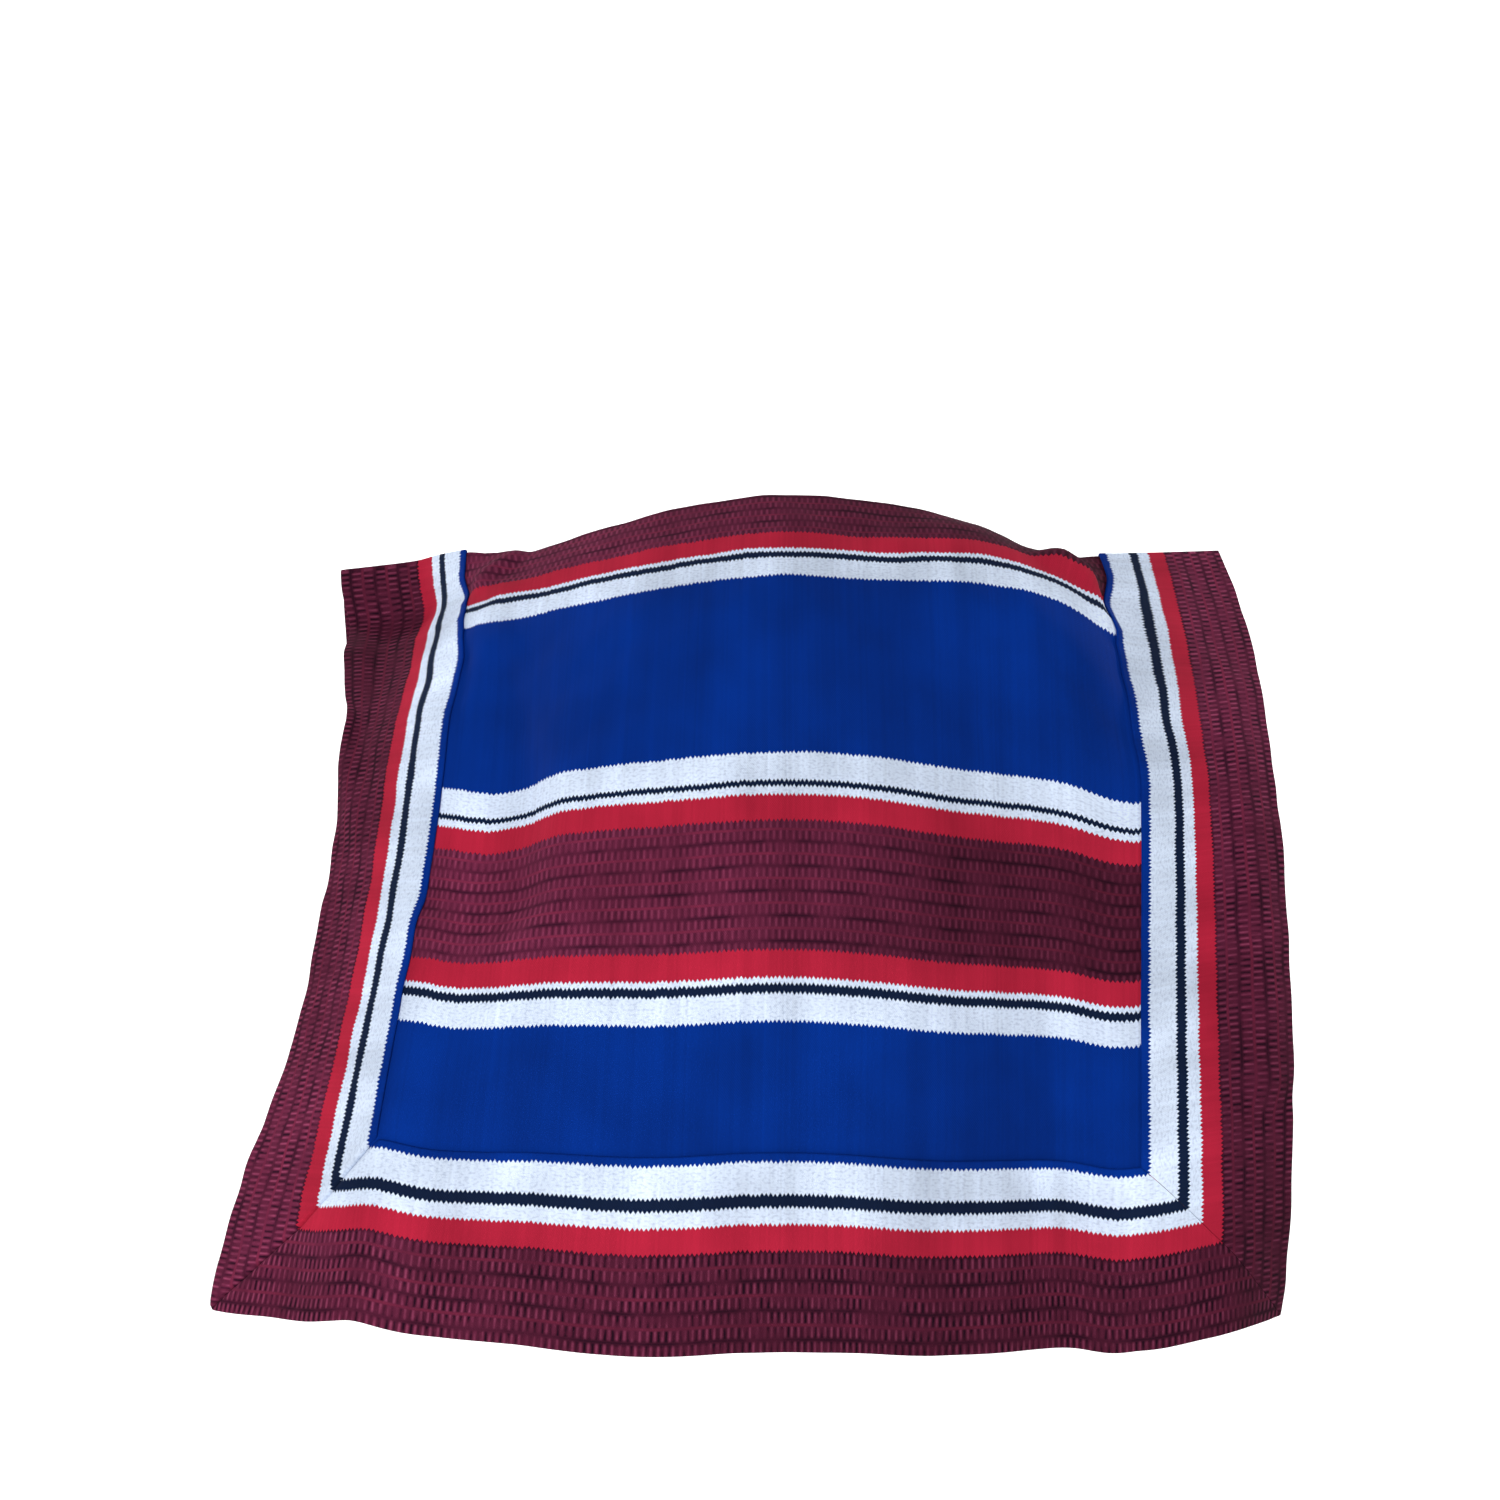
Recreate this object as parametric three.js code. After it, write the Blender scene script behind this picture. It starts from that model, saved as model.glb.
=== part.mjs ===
import * as THREE from "three";

// A poncho in its worn form: two framed rectangles, joined at the shoulders. The neck, the
// sides and the hem are open.
//
// Units are millimetres, with +Z up. The front faces -Y, and +X is to its right as seen from
// in front. The origin is the middle of the shoulder line, where the cloth is carried.
//
// The cloth is described the way it is cut. A point of a side is named by two lengths on the
// flat cloth: u runs across it from its middle, and v runs down it from the shoulder line.
// A hang line is what one thread of v does once the garment is worn. Each line starts on the
// shoulder line and is marched down the cloth, turning by the tilt and the lean of its row, so
// lengths on the flat cloth stay lengths on the worn one.

// The cut of one side
const SIDE_WIDTH = 700;
const SIDE_LENGTH = 584;
const BORDER_WIDTH = 116;
const HALF_WIDTH = SIDE_WIDTH / 2;
const PANEL_HALF = HALF_WIDTH - BORDER_WIDTH;
const PANEL_LENGTH = SIDE_LENGTH - BORDER_WIDTH;

// Thickness of the walls: the panel is one layer, the border is folded double
const PANEL_WALL = 1.2;
const BORDER_WALL = 2.0;

// Clear space between two pieces at a seam, and the half of it that each piece gives up.
// At the shoulder line both sides slope, so they start a little further down.
const SEAM = 0.3;
const HALF_SEAM = SEAM / 2;
const MITRE_STEP = HALF_SEAM * Math.SQRT2;
const SHOULDER_START = SEAM;

// Cells along and across the pieces. The front has the folds that show, so it is finer along.
// Both sides have the same count across, so their strips meet cell by cell on the shoulder.
const FRONT_CELLS = { along: 36, across: 8 };
const BACK_CELLS = { along: 30, across: 8 };

// Length of one step down a hang line, and of one step used to find a normal
const MARCH = 4;
const PROBE = 2;

// Length v at which the tilts and leans of the hang lines are given
const LEVELS = [0, 60, 130, 220, 330, 450, SIDE_LENGTH];

// Hang lines of the front, from the left edge to the right one.
//   u      place across the flat cloth
//   top    where the line starts on the shoulder line
//   tilt   degrees away from straight down, towards the front, at each level
//   lean   degrees away from straight down, towards +X, at each level
//   reach  share of the cloth's length that is left once small ripples have taken up the rest
const FRONT_LINES = [
  {
    u: -350, top: [-318, 44, -9], reach: 0.925,
    tilt: [12, 34, 40, 25, 18, 16, 6],
    lean: [4, 9, 9, -1, -7, -17, -15],
  },
  {
    u: -292, top: [-258, 28, -4], reach: 0.94,
    tilt: [8, 38, 48, 27, 21, 15, 3],
    lean: [5, 2, -2, -2, -6, -11, -12],
  },
  {
    u: -234, top: [-216, -12, 0], reach: 0.928,
    tilt: [28, 56, 28, 24, 26, 10, 4],
    lean: [3, 1, 0, -2, -6, -8, -8],
  },
  {
    u: -195, top: [-178, -20, -3], reach: 0.935,
    tilt: [64, 48, 23, 25, 25, 10, 4],
    lean: [1, 0, 0, -2, -5, -6, -6],
  },
  {
    u: -140, top: [-126, -36, 11], reach: 0.957,
    tilt: [60, 47, 28, 27, 18, 8, 5],
    lean: [0, 0, -1, -2, -3, -4, -4],
  },
  {
    u: -70, top: [-61, -47, 27], reach: 0.985,
    tilt: [53, 46, 28, 26, 14, 8, 6],
    lean: [0, -1, -1, -1, -1, -2, -2],
  },
  {
    u: 0, top: [4, -51, 35], reach: 0.99,
    tilt: [53, 45, 27, 24, 12, 8, 6],
    lean: [-1, -1, 0, 0, -1, -1, -1],
  },
  {
    u: 70, top: [70, -47, 31], reach: 0.99,
    tilt: [54, 46, 27, 22, 11, 9, 6],
    lean: [-1, -1, 0, 0, -1, -1, -1],
  },
  {
    u: 140, top: [138, -33, 18], reach: 0.985,
    tilt: [82, 47, 13, 15, 12, 9, 6],
    lean: [0, 0, 0, 0, -1, -1, -1],
  },
  {
    u: 195, top: [192, -16, -5], reach: 0.967,
    tilt: [94, 54, 16, 14, 12, 9, 5],
    lean: [0, 0, 0, -1, -1, -1, -1],
  },
  {
    u: 234, top: [232, -8, -2], reach: 0.946,
    tilt: [50, 44, 25, 22, 19, 11, 4],
    lean: [5, 2, 0, -3, -3, -1, -1],
  },
  {
    u: 292, top: [284, 20, 2], reach: 0.95,
    tilt: [34, 37, 36, 31, 20, 13, 2],
    lean: [6, 3, 0, -3, -3, -1, -2],
  },
  {
    u: 350, top: [330, 46, 6], reach: 0.96,
    tilt: [30, 36, 37, 31, 18, 8, -12],
    lean: [14, 6, -1, -2, -2, -2, -4],
  },
];

// Hang lines of the back. A tilt leads outwards here too, so towards +Y.
const BACK_LINES = [
  {
    u: -350, top: [-318, 44, -9], reach: 0.95,
    tilt: [45, 25, 2, -10, -4, 4, 6],
    lean: [-4, -3, -2, -1, -1, -2, -2],
  },
  {
    u: -292, top: [-258, 28, -4], reach: 0.96,
    tilt: [46, 30, 10, -4, -1, 3, 5],
    lean: [-4, -4, -3, -2, -1, -2, -2],
  },
  {
    u: -234, top: [-216, -12, 0], reach: 0.98,
    tilt: [60, 50, 26, 6, 2, 2, 3],
    lean: [-2, -3, -3, -2, -1, -1, -1],
  },
  {
    u: -195, top: [-181, 10, -3], reach: 0.98,
    tilt: [56, 42, 20, 5, 1, 1, 2],
    lean: [-1, -2, -2, -1, -1, -1, -1],
  },
  {
    u: -140, top: [-132, 32, 10], reach: 0.98,
    tilt: [52, 35, 15, 3, 0, 0, 1],
    lean: [0, -1, -1, -1, 0, 0, 0],
  },
  {
    u: -70, top: [-66, 45, 22], reach: 0.99,
    tilt: [50, 31, 13, 3, -1, 0, 1],
    lean: [0, 0, 0, 0, 0, 0, 0],
  },
  {
    u: 0, top: [3, 49, 27], reach: 0.99,
    tilt: [50, 31, 13, 3, -1, 0, 1],
    lean: [0, 0, 0, 0, 0, 0, 0],
  },
  {
    u: 70, top: [72, 45, 23], reach: 0.99,
    tilt: [50, 31, 13, 3, -1, 0, 1],
    lean: [0, 0, 0, 0, 0, 0, 0],
  },
  {
    u: 140, top: [139, 32, 11], reach: 0.98,
    tilt: [52, 35, 15, 3, 0, 0, 1],
    lean: [0, 1, 1, 0, 0, 0, 0],
  },
  {
    u: 195, top: [191, 12, -5], reach: 0.98,
    tilt: [56, 42, 20, 5, 1, 1, 2],
    lean: [1, 2, 2, 1, 1, 0, 0],
  },
  {
    u: 234, top: [232, -8, -2], reach: 0.98,
    tilt: [60, 50, 26, 6, 2, 2, 3],
    lean: [2, 2, 2, 1, 1, 1, 0],
  },
  {
    u: 292, top: [284, 20, 2], reach: 0.96,
    tilt: [48, 32, 10, -4, -1, 3, 5],
    lean: [3, 2, 1, 1, 1, 1, 0],
  },
  {
    u: 350, top: [330, 46, 6], reach: 0.95,
    tilt: [46, 24, 2, -9, -4, 3, 6],
    lean: [2, 1, 1, 1, 1, 1, 0],
  },
];

// Folds that lie on the hung cloth, each a soft ridge (or, with a height below zero, a trough)
// from one place of the flat cloth to another.
//   from, to  the two ends of its crest, as [u, v]
//   width     breadth of the fold across its crest
//   height    how far its crest stands out of the cloth, at each end
const FRONT_FOLDS = [
  { name: "pull at the left end of the neck", from: [-196, -10], to: [-238, 78], width: 34, height: [4, 3] },
  { name: "pull at the right end of the neck", from: [196, -10], to: [232, 84], width: 32, height: [4, 4] },
  { name: "bend below the left shoulder", from: [-206, 60], to: [-168, 236], width: 66, height: [3, -2] },
  { name: "slack beside that bend", from: [-200, 130], to: [-178, 300], width: 90, height: [-4, -8] },
  { name: "long drop on the left", from: [-92, 250], to: [-112, SIDE_LENGTH], width: 110, height: [0, 4] },
  { name: "hollow between the drops", from: [30, 330], to: [66, SIDE_LENGTH], width: 100, height: [0, -6] },
  { name: "long drop on the right", from: [128, 300], to: [150, SIDE_LENGTH], width: 96, height: [0, 5] },
  { name: "pinch at the left edge", from: [-362, 150], to: [-318, 246], width: 54, height: [9, 2] },
  { name: "ripple in the left hem", from: [-300, 420], to: [-286, SIDE_LENGTH], width: 76, height: [0, -3] },
  { name: "ripple in the right edge", from: [322, 130], to: [330, 420], width: 60, height: [2, 6] },
];

const BACK_FOLDS = [
  { name: "pull at the left end of the neck", from: [-200, -10], to: [-244, 96], width: 44, height: [6, 1] },
  { name: "pull at the right end of the neck", from: [200, -10], to: [246, 104], width: 44, height: [6, 1] },
  { name: "hollow down the middle", from: [-6, 90], to: [14, SIDE_LENGTH], width: 150, height: [-3, -12] },
  { name: "fold left of middle", from: [-118, 150], to: [-142, SIDE_LENGTH], width: 120, height: [2, 11] },
  { name: "fold right of middle", from: [126, 140], to: [160, SIDE_LENGTH], width: 130, height: [2, 10] },
  { name: "slack on the left", from: [-258, 220], to: [-248, SIDE_LENGTH], width: 100, height: [0, -8] },
  { name: "slack on the right", from: [262, 240], to: [268, SIDE_LENGTH], width: 96, height: [0, -7] },
];

// Over this stretch of u the two necklines close on each other at the ends of the neck opening.
// Folds die out towards the line where the two sides are joined, over this much of v.
const SLIT_CLOSES = { from: 214, to: PANEL_HALF };
const FOLDS_START = 36;

const DEGREE = Math.PI / 180;

// Materials

function cloth(colour, roughness) {
  return new THREE.MeshStandardMaterial({ color: colour, roughness, metalness: 0 });
}

// The striped cloth is blue over most of the panel and wine red over most of the border
const panelCloth = () => cloth(0x0a3183, 0.92);
const borderCloth = () => cloth(0x5e2440, 0.94);

// Smooth curve through the values at the stations, with its slopes taken from their neighbours
function through(stations, values, at) {
  const last = stations.length - 1;
  let i = 0;
  while (i < last - 1 && at > stations[i + 1]) i += 1;
  const slope = (k) => {
    const before = Math.max(k - 1, 0);
    const after = Math.min(k + 1, last);
    return (values[after] - values[before]) / (stations[after] - stations[before]);
  };
  const span = stations[i + 1] - stations[i];
  const t = (at - stations[i]) / span;
  const rise = t * t * (3 - 2 * t);
  return (
    values[i] * (1 - rise) +
    values[i + 1] * rise +
    slope(i) * span * t * (1 - t) * (1 - t) -
    slope(i + 1) * span * t * t * (1 - t)
  );
}

// Where a hang line starts. Outside the neck opening the front and the back are joined, so
// they share one shoulder line, halfway between the two curves.
function lineTop(lines, u) {
  const stations = lines.map((row) => row.u);
  const own = [0, 1, 2].map((axis) => through(stations, lines.map((row) => row.top[axis]), u));
  return new THREE.Vector3(...own);
}

function shoulderPoint(lines, u) {
  if (Math.abs(u) < PANEL_HALF) return lineTop(lines, u);
  return lineTop(FRONT_LINES, u).lerp(lineTop(BACK_LINES, u), 0.5);
}

// Marches one hang line down the cloth and returns its points, MARCH apart on the cloth.
// away is -1 for the front, whose tilts lead towards -Y, and 1 for the back.
function hangLine(lines, u, away) {
  const stations = lines.map((row) => row.u);
  const at = (column) => through(stations, lines.map(column), u);
  const tilts = LEVELS.map((_, k) => at((row) => row.tilt[k] * DEGREE));
  const leans = LEVELS.map((_, k) => at((row) => row.lean[k] * DEGREE));
  const stride = MARCH * at((row) => row.reach);
  const place = shoulderPoint(lines, u);
  const points = [place.clone()];
  for (let v = MARCH / 2; v < SIDE_LENGTH + MARCH; v += MARCH) {
    const tilt = through(LEVELS, tilts, v);
    const lean = through(LEVELS, leans, v);
    const down = new THREE.Vector3(
      Math.sin(lean),
      away * Math.sin(tilt) * Math.cos(lean),
      -Math.cos(tilt) * Math.cos(lean),
    );
    place.addScaledVector(down, stride);
    points.push(place.clone());
  }
  return points;
}

// It is 1 where the two sides are joined on the shoulder line, and 0 where the neck is open
function closing(u) {
  const share = (Math.abs(u) - SLIT_CLOSES.from) / (SLIT_CLOSES.to - SLIT_CLOSES.from);
  return Math.min(Math.max(share, 0), 1);
}

// How far the folds lift the cloth at one place
function foldHeight(folds, u, v) {
  let lift = 0;
  for (const fold of folds) {
    const alongU = fold.to[0] - fold.from[0];
    const alongV = fold.to[1] - fold.from[1];
    const length = Math.hypot(alongU, alongV);
    const along = ((u - fold.from[0]) * alongU + (v - fold.from[1]) * alongV) / length;
    const aside = ((u - fold.from[0]) * alongV - (v - fold.from[1]) * alongU) / length;
    const beyond = Math.max(-along, along - length, 0);
    const off = Math.hypot(aside, beyond) / (fold.width / 2);
    if (off >= 1) continue;
    const share = Math.min(Math.max(along / length, 0), 1);
    const crest = fold.height[0] + (fold.height[1] - fold.height[0]) * share;
    lift += crest * (0.5 + 0.5 * Math.cos(Math.PI * off));
  }
  const started = Math.min(Math.max(v / FOLDS_START, 0), 1);
  return lift * (1 - closing(u) * (1 - started));
}

// One side of the garment: point(u, v) is the middle of the cloth, and normal(u, v) is its
// direction outwards.
function makeSide(lines, folds, away) {
  const marched = new Map();

  function hung(u, v) {
    if (!marched.has(u)) marched.set(u, hangLine(lines, u, away));
    const points = marched.get(u);
    const step = Math.min(Math.max(v, 0), SIDE_LENGTH) / MARCH;
    const i = Math.min(Math.floor(step), points.length - 2);
    return points[i].clone().lerp(points[i + 1], step - i);
  }

  function normalOf(surface, u, v) {
    const across = surface(u + PROBE, v).sub(surface(u - PROBE, v));
    const down = surface(u, v + PROBE).sub(surface(u, v - PROBE));
    return across.cross(down).multiplyScalar(away).normalize();
  }

  function point(u, v) {
    const lift = foldHeight(folds, u, v);
    const place = hung(u, v);
    return lift === 0 ? place : place.addScaledVector(normalOf(hung, u, v), lift);
  }

  return { away, point, normal: (u, v) => normalOf(point, u, v) };
}

const front = makeSide(FRONT_LINES, FRONT_FOLDS, -1);
const back = makeSide(BACK_LINES, BACK_FOLDS, 1);

// Offset of a wall's outer face from the middle of the cloth, for a wall 1 mm thick each way.
// On the shoulder line the end face stands halfway between the front and the back, so that
// the two close on each other like a mitred joint.
function offsetAt(side, u, v, onShoulder) {
  const normal = side.normal(u, v);
  if (!onShoulder || closing(u) === 0) return normal;
  const other = side === front ? back : front;
  const halfway = normal.clone().add(other.normal(u, v)).normalize();
  const mitred = halfway.divideScalar(halfway.dot(normal));
  return normal.lerp(mitred, closing(u));
}

// Closed wall over a grid of places on a side. places[i][j] is [u, v]; i runs down the cloth
// and j runs towards +X.
function wall(side, places, thickness) {
  const rows = places.length;
  const columns = places[0].length;
  const sheet = rows * columns;
  const positions = new Float32Array(2 * sheet * 3);
  places.forEach((row, i) =>
    row.forEach(([u, v], j) => {
      const middle = side.point(u, v);
      const offset = offsetAt(side, u, v, v === SHOULDER_START);
      offset.multiplyScalar(thickness / 2);
      const k = i * columns + j;
      middle.clone().add(offset).toArray(positions, k * 3);
      middle.clone().sub(offset).toArray(positions, (sheet + k) * 3);
    }),
  );

  // Each cell is split along its shorter diagonal, which keeps the slanted ends smooth
  const corner = (k) => new THREE.Vector3().fromArray(positions, k * 3);
  const faces = [];
  const triangle = (a, b, c) => {
    if (side.away < 0) faces.push(a, c, b);
    else faces.push(a, b, c);
  };
  const quad = (a, b, c, d) => {
    const short = corner(a).distanceTo(corner(c)) <= corner(b).distanceTo(corner(d));
    triangle(a, b, short ? c : d);
    triangle(short ? a : b, c, d);
  };
  const at = (i, j) => i * columns + j;
  for (let i = 0; i < rows - 1; i += 1) {
    for (let j = 0; j < columns - 1; j += 1) {
      const [a, b, c, d] = [at(i, j), at(i, j + 1), at(i + 1, j + 1), at(i + 1, j)];
      quad(a, b, c, d);
      quad(a + sheet, d + sheet, c + sheet, b + sheet);
    }
  }
  const edge = [];
  for (let j = 0; j < columns - 1; j += 1) edge.push(at(0, j));
  for (let i = 0; i < rows - 1; i += 1) edge.push(at(i, columns - 1));
  for (let j = columns - 1; j > 0; j -= 1) edge.push(at(rows - 1, j));
  for (let i = rows - 1; i > 0; i -= 1) edge.push(at(i, 0));
  edge.forEach((k, n) => {
    const next = edge[(n + 1) % edge.length];
    quad(k, k + sheet, next + sheet, next);
  });

  const geometry = new THREE.BufferGeometry();
  geometry.setAttribute("position", new THREE.BufferAttribute(positions, 3));
  geometry.setIndex(faces);
  geometry.computeVertexNormals();
  return geometry;
}

// Grid of places, with both shares running from 0 to 1
function grid(down, across, place) {
  const shares = (count) => Array.from({ length: count + 1 }, (_, k) => k / count);
  return shares(down).map((t) => shares(across).map((s) => place(t, s)));
}

// Pieces, each cut flat and then laid on the hung cloth

// Middle panel: a rectangle whose top edge is the neckline
function panel(side, cells) {
  const half = PANEL_HALF - HALF_SEAM;
  const end = PANEL_LENGTH - HALF_SEAM;
  const places = grid(cells.along, cells.along, (t, s) => {
    const u = (2 * s - 1) * half;
    const v = SHOULDER_START + t * (end - SHOULDER_START);
    return [u, v];
  });
  return wall(side, places, PANEL_WALL);
}

// Side strip of the border, from the shoulder line to the mitred corner. hand is -1 or 1.
function sideBorder(side, cells, hand) {
  const inner = PANEL_HALF + HALF_SEAM;
  const places = grid(cells.along, cells.across, (t, s) => {
    const share = hand < 0 ? 1 - s : s;
    const out = inner + share * (HALF_WIDTH - inner);
    const end = SIDE_LENGTH - (HALF_WIDTH - out) - MITRE_STEP;
    const v = SHOULDER_START + t * (end - SHOULDER_START);
    return [hand * out, v];
  });
  return wall(side, places, BORDER_WALL);
}

// Bottom strip of the border, with both ends mitred
function bottomBorder(side, cells) {
  const top = PANEL_LENGTH + HALF_SEAM;
  const places = grid(cells.across, cells.along, (t, s) => {
    const v = top + t * (SIDE_LENGTH - top);
    const half = HALF_WIDTH - (SIDE_LENGTH - v) - MITRE_STEP;
    return [(2 * s - 1) * half, v];
  });
  return wall(side, places, BORDER_WALL);
}

// The garment

function makeMesh(name, geometry, material) {
  const mesh = new THREE.Mesh(geometry, material);
  mesh.name = name;
  return mesh;
}

function makeHalf(name, side, cells) {
  const half = new THREE.Group();
  half.add(
    makeMesh(`${name}_panel`, panel(side, cells), panelCloth()),
    makeMesh(`${name}_border_left`, sideBorder(side, cells, -1), borderCloth()),
    makeMesh(`${name}_border_right`, sideBorder(side, cells, 1), borderCloth()),
    makeMesh(`${name}_border_bottom`, bottomBorder(side, cells), borderCloth()),
  );
  return half;
}

const group = new THREE.Group();
group.add(makeHalf("front", front, FRONT_CELLS));
group.add(makeHalf("back", back, BACK_CELLS));

export default group;
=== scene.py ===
# %% [markdown]
# # A striped poncho in its worn form
#
# The real thing is two squares of heavy striped cotton, front and back, each framed by a
# border that is cut from the same kind of cloth and mitred at the lower corners. The two are
# joined along two short shoulder seams, and the necklines between them are left open.
#
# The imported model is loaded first. It is the fixed frame: every piece made here goes where
# its solid already is, in metres, with +Z up and the front facing -Y.

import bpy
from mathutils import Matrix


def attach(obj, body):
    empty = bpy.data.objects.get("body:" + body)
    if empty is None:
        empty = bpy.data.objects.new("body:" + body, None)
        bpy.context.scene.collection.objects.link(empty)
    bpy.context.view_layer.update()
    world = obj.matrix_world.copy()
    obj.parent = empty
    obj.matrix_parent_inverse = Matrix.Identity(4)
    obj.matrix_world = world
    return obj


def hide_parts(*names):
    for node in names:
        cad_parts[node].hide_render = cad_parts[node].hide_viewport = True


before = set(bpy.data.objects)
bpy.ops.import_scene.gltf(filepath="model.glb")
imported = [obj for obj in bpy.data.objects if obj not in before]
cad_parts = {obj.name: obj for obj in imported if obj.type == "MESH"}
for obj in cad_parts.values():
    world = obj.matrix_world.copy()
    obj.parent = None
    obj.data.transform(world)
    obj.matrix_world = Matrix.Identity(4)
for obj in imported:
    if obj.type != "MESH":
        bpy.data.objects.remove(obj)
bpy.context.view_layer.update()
print("solids:", ", ".join(sorted(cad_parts)))

# %% [markdown]
# ## The cut
#
# A tailor starts from the flat cloth, and so does this script. A point of one side is named
# by two lengths on the flat cloth in millimetres: u runs across it from its middle, and v
# runs down it from the shoulder line.

# %% Sizes of the flat cloth, in millimetres
import math

import bpy
import numpy as np
from mathutils import Vector

MM = 0.001
SIDE_WIDTH = 700
SIDE_LENGTH = 584
BORDER_WIDTH = 116
HALF_WIDTH = SIDE_WIDTH / 2
PANEL_HALF = HALF_WIDTH - BORDER_WIDTH
PANEL_LENGTH = SIDE_LENGTH - BORDER_WIDTH
PANEL_WALL = 1.2
BORDER_WALL = 2.0
SEAM = 0.3
MITRE_STEP = SEAM / 2 * math.sqrt(2)
SHOULDER_START = SEAM
print(f"one side is {SIDE_WIDTH} x {SIDE_LENGTH} mm, with a {BORDER_WIDTH} mm border")

# %% [markdown]
# ## How the cloth hangs
#
# Worn cloth keeps its lengths. So each thread of v becomes a hang line: it starts on the
# shoulder line and is walked down the cloth in short steps, turning by the tilt and the lean
# that its row gives at each level. A simulation could drape the square too, but it would
# need a form to fall on, and it wouldn't land on the folds that this poncho has.

# %% Hang lines: one row each, tilt and lean in degrees at each level of v
LEVELS = [0, 60, 130, 220, 330, 450, SIDE_LENGTH]

FRONT_LINES = [
    # u, where it starts, share of its length left by small ripples, tilt, lean
    (-350, (-318, 44, -9), 0.925, (12, 34, 40, 25, 18, 16, 6), (4, 9, 9, -1, -7, -17, -15)),
    (-292, (-258, 28, -4), 0.94, (8, 38, 48, 27, 21, 15, 3), (5, 2, -2, -2, -6, -11, -12)),
    (-234, (-216, -12, 0), 0.928, (28, 56, 28, 24, 26, 10, 4), (3, 1, 0, -2, -6, -8, -8)),
    (-195, (-178, -20, -3), 0.935, (64, 48, 23, 25, 25, 10, 4), (1, 0, 0, -2, -5, -6, -6)),
    (-140, (-126, -36, 11), 0.957, (60, 47, 28, 27, 18, 8, 5), (0, 0, -1, -2, -3, -4, -4)),
    (-70, (-61, -47, 27), 0.985, (53, 46, 28, 26, 14, 8, 6), (0, -1, -1, -1, -1, -2, -2)),
    (0, (4, -51, 35), 0.99, (53, 45, 27, 24, 12, 8, 6), (-1, -1, 0, 0, -1, -1, -1)),
    (70, (70, -47, 31), 0.99, (54, 46, 27, 22, 11, 9, 6), (-1, -1, 0, 0, -1, -1, -1)),
    (140, (138, -33, 18), 0.985, (82, 47, 13, 15, 12, 9, 6), (0, 0, 0, 0, -1, -1, -1)),
    (195, (192, -16, -5), 0.967, (94, 54, 16, 14, 12, 9, 5), (0, 0, 0, -1, -1, -1, -1)),
    (234, (232, -8, -2), 0.946, (50, 44, 25, 22, 19, 11, 4), (5, 2, 0, -3, -3, -1, -1)),
    (292, (284, 20, 2), 0.95, (34, 37, 36, 31, 20, 13, 2), (6, 3, 0, -3, -3, -1, -2)),
    (350, (330, 46, 6), 0.96, (30, 36, 37, 31, 18, 8, -12), (14, 6, -1, -2, -2, -2, -4)),
]

BACK_LINES = [
    (-350, (-318, 44, -9), 0.95, (45, 25, 2, -10, -4, 4, 6), (-4, -3, -2, -1, -1, -2, -2)),
    (-292, (-258, 28, -4), 0.96, (46, 30, 10, -4, -1, 3, 5), (-4, -4, -3, -2, -1, -2, -2)),
    (-234, (-216, -12, 0), 0.98, (60, 50, 26, 6, 2, 2, 3), (-2, -3, -3, -2, -1, -1, -1)),
    (-195, (-181, 10, -3), 0.98, (56, 42, 20, 5, 1, 1, 2), (-1, -2, -2, -1, -1, -1, -1)),
    (-140, (-132, 32, 10), 0.98, (52, 35, 15, 3, 0, 0, 1), (0, -1, -1, -1, 0, 0, 0)),
    (-70, (-66, 45, 22), 0.99, (50, 31, 13, 3, -1, 0, 1), (0, 0, 0, 0, 0, 0, 0)),
    (0, (3, 49, 27), 0.99, (50, 31, 13, 3, -1, 0, 1), (0, 0, 0, 0, 0, 0, 0)),
    (70, (72, 45, 23), 0.99, (50, 31, 13, 3, -1, 0, 1), (0, 0, 0, 0, 0, 0, 0)),
    (140, (139, 32, 11), 0.98, (52, 35, 15, 3, 0, 0, 1), (0, 1, 1, 0, 0, 0, 0)),
    (195, (191, 12, -5), 0.98, (56, 42, 20, 5, 1, 1, 2), (1, 2, 2, 1, 1, 0, 0)),
    (234, (232, -8, -2), 0.98, (60, 50, 26, 6, 2, 2, 3), (2, 2, 2, 1, 1, 1, 0)),
    (292, (284, 20, 2), 0.96, (48, 32, 10, -4, -1, 3, 5), (3, 2, 1, 1, 1, 1, 0)),
    (350, (330, 46, 6), 0.95, (46, 24, 2, -9, -4, 3, 6), (2, 1, 1, 1, 1, 1, 0)),
]
print(f"{len(FRONT_LINES)} hang lines in front and {len(BACK_LINES)} behind")

# %% [markdown]
# A smooth curve through the rows fills in everything between them. Then the lines are walked
# for a whole comb of u at once, which gives a table of points that any u and v can be read
# from. The comb and the lines run on a little past the edges of the cloth, so that slopes
# can be measured there too.

# %% Walk the hang lines
STRIDE = 2.0
SPARE = 8.0
OVERHANG = 6
COMB = np.arange(-HALF_WIDTH - OVERHANG, HALF_WIDTH + OVERHANG + STRIDE, STRIDE)
AWAY = {"front": -1, "back": 1}
OTHER_SIDE = {"front": "back", "back": "front"}


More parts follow.
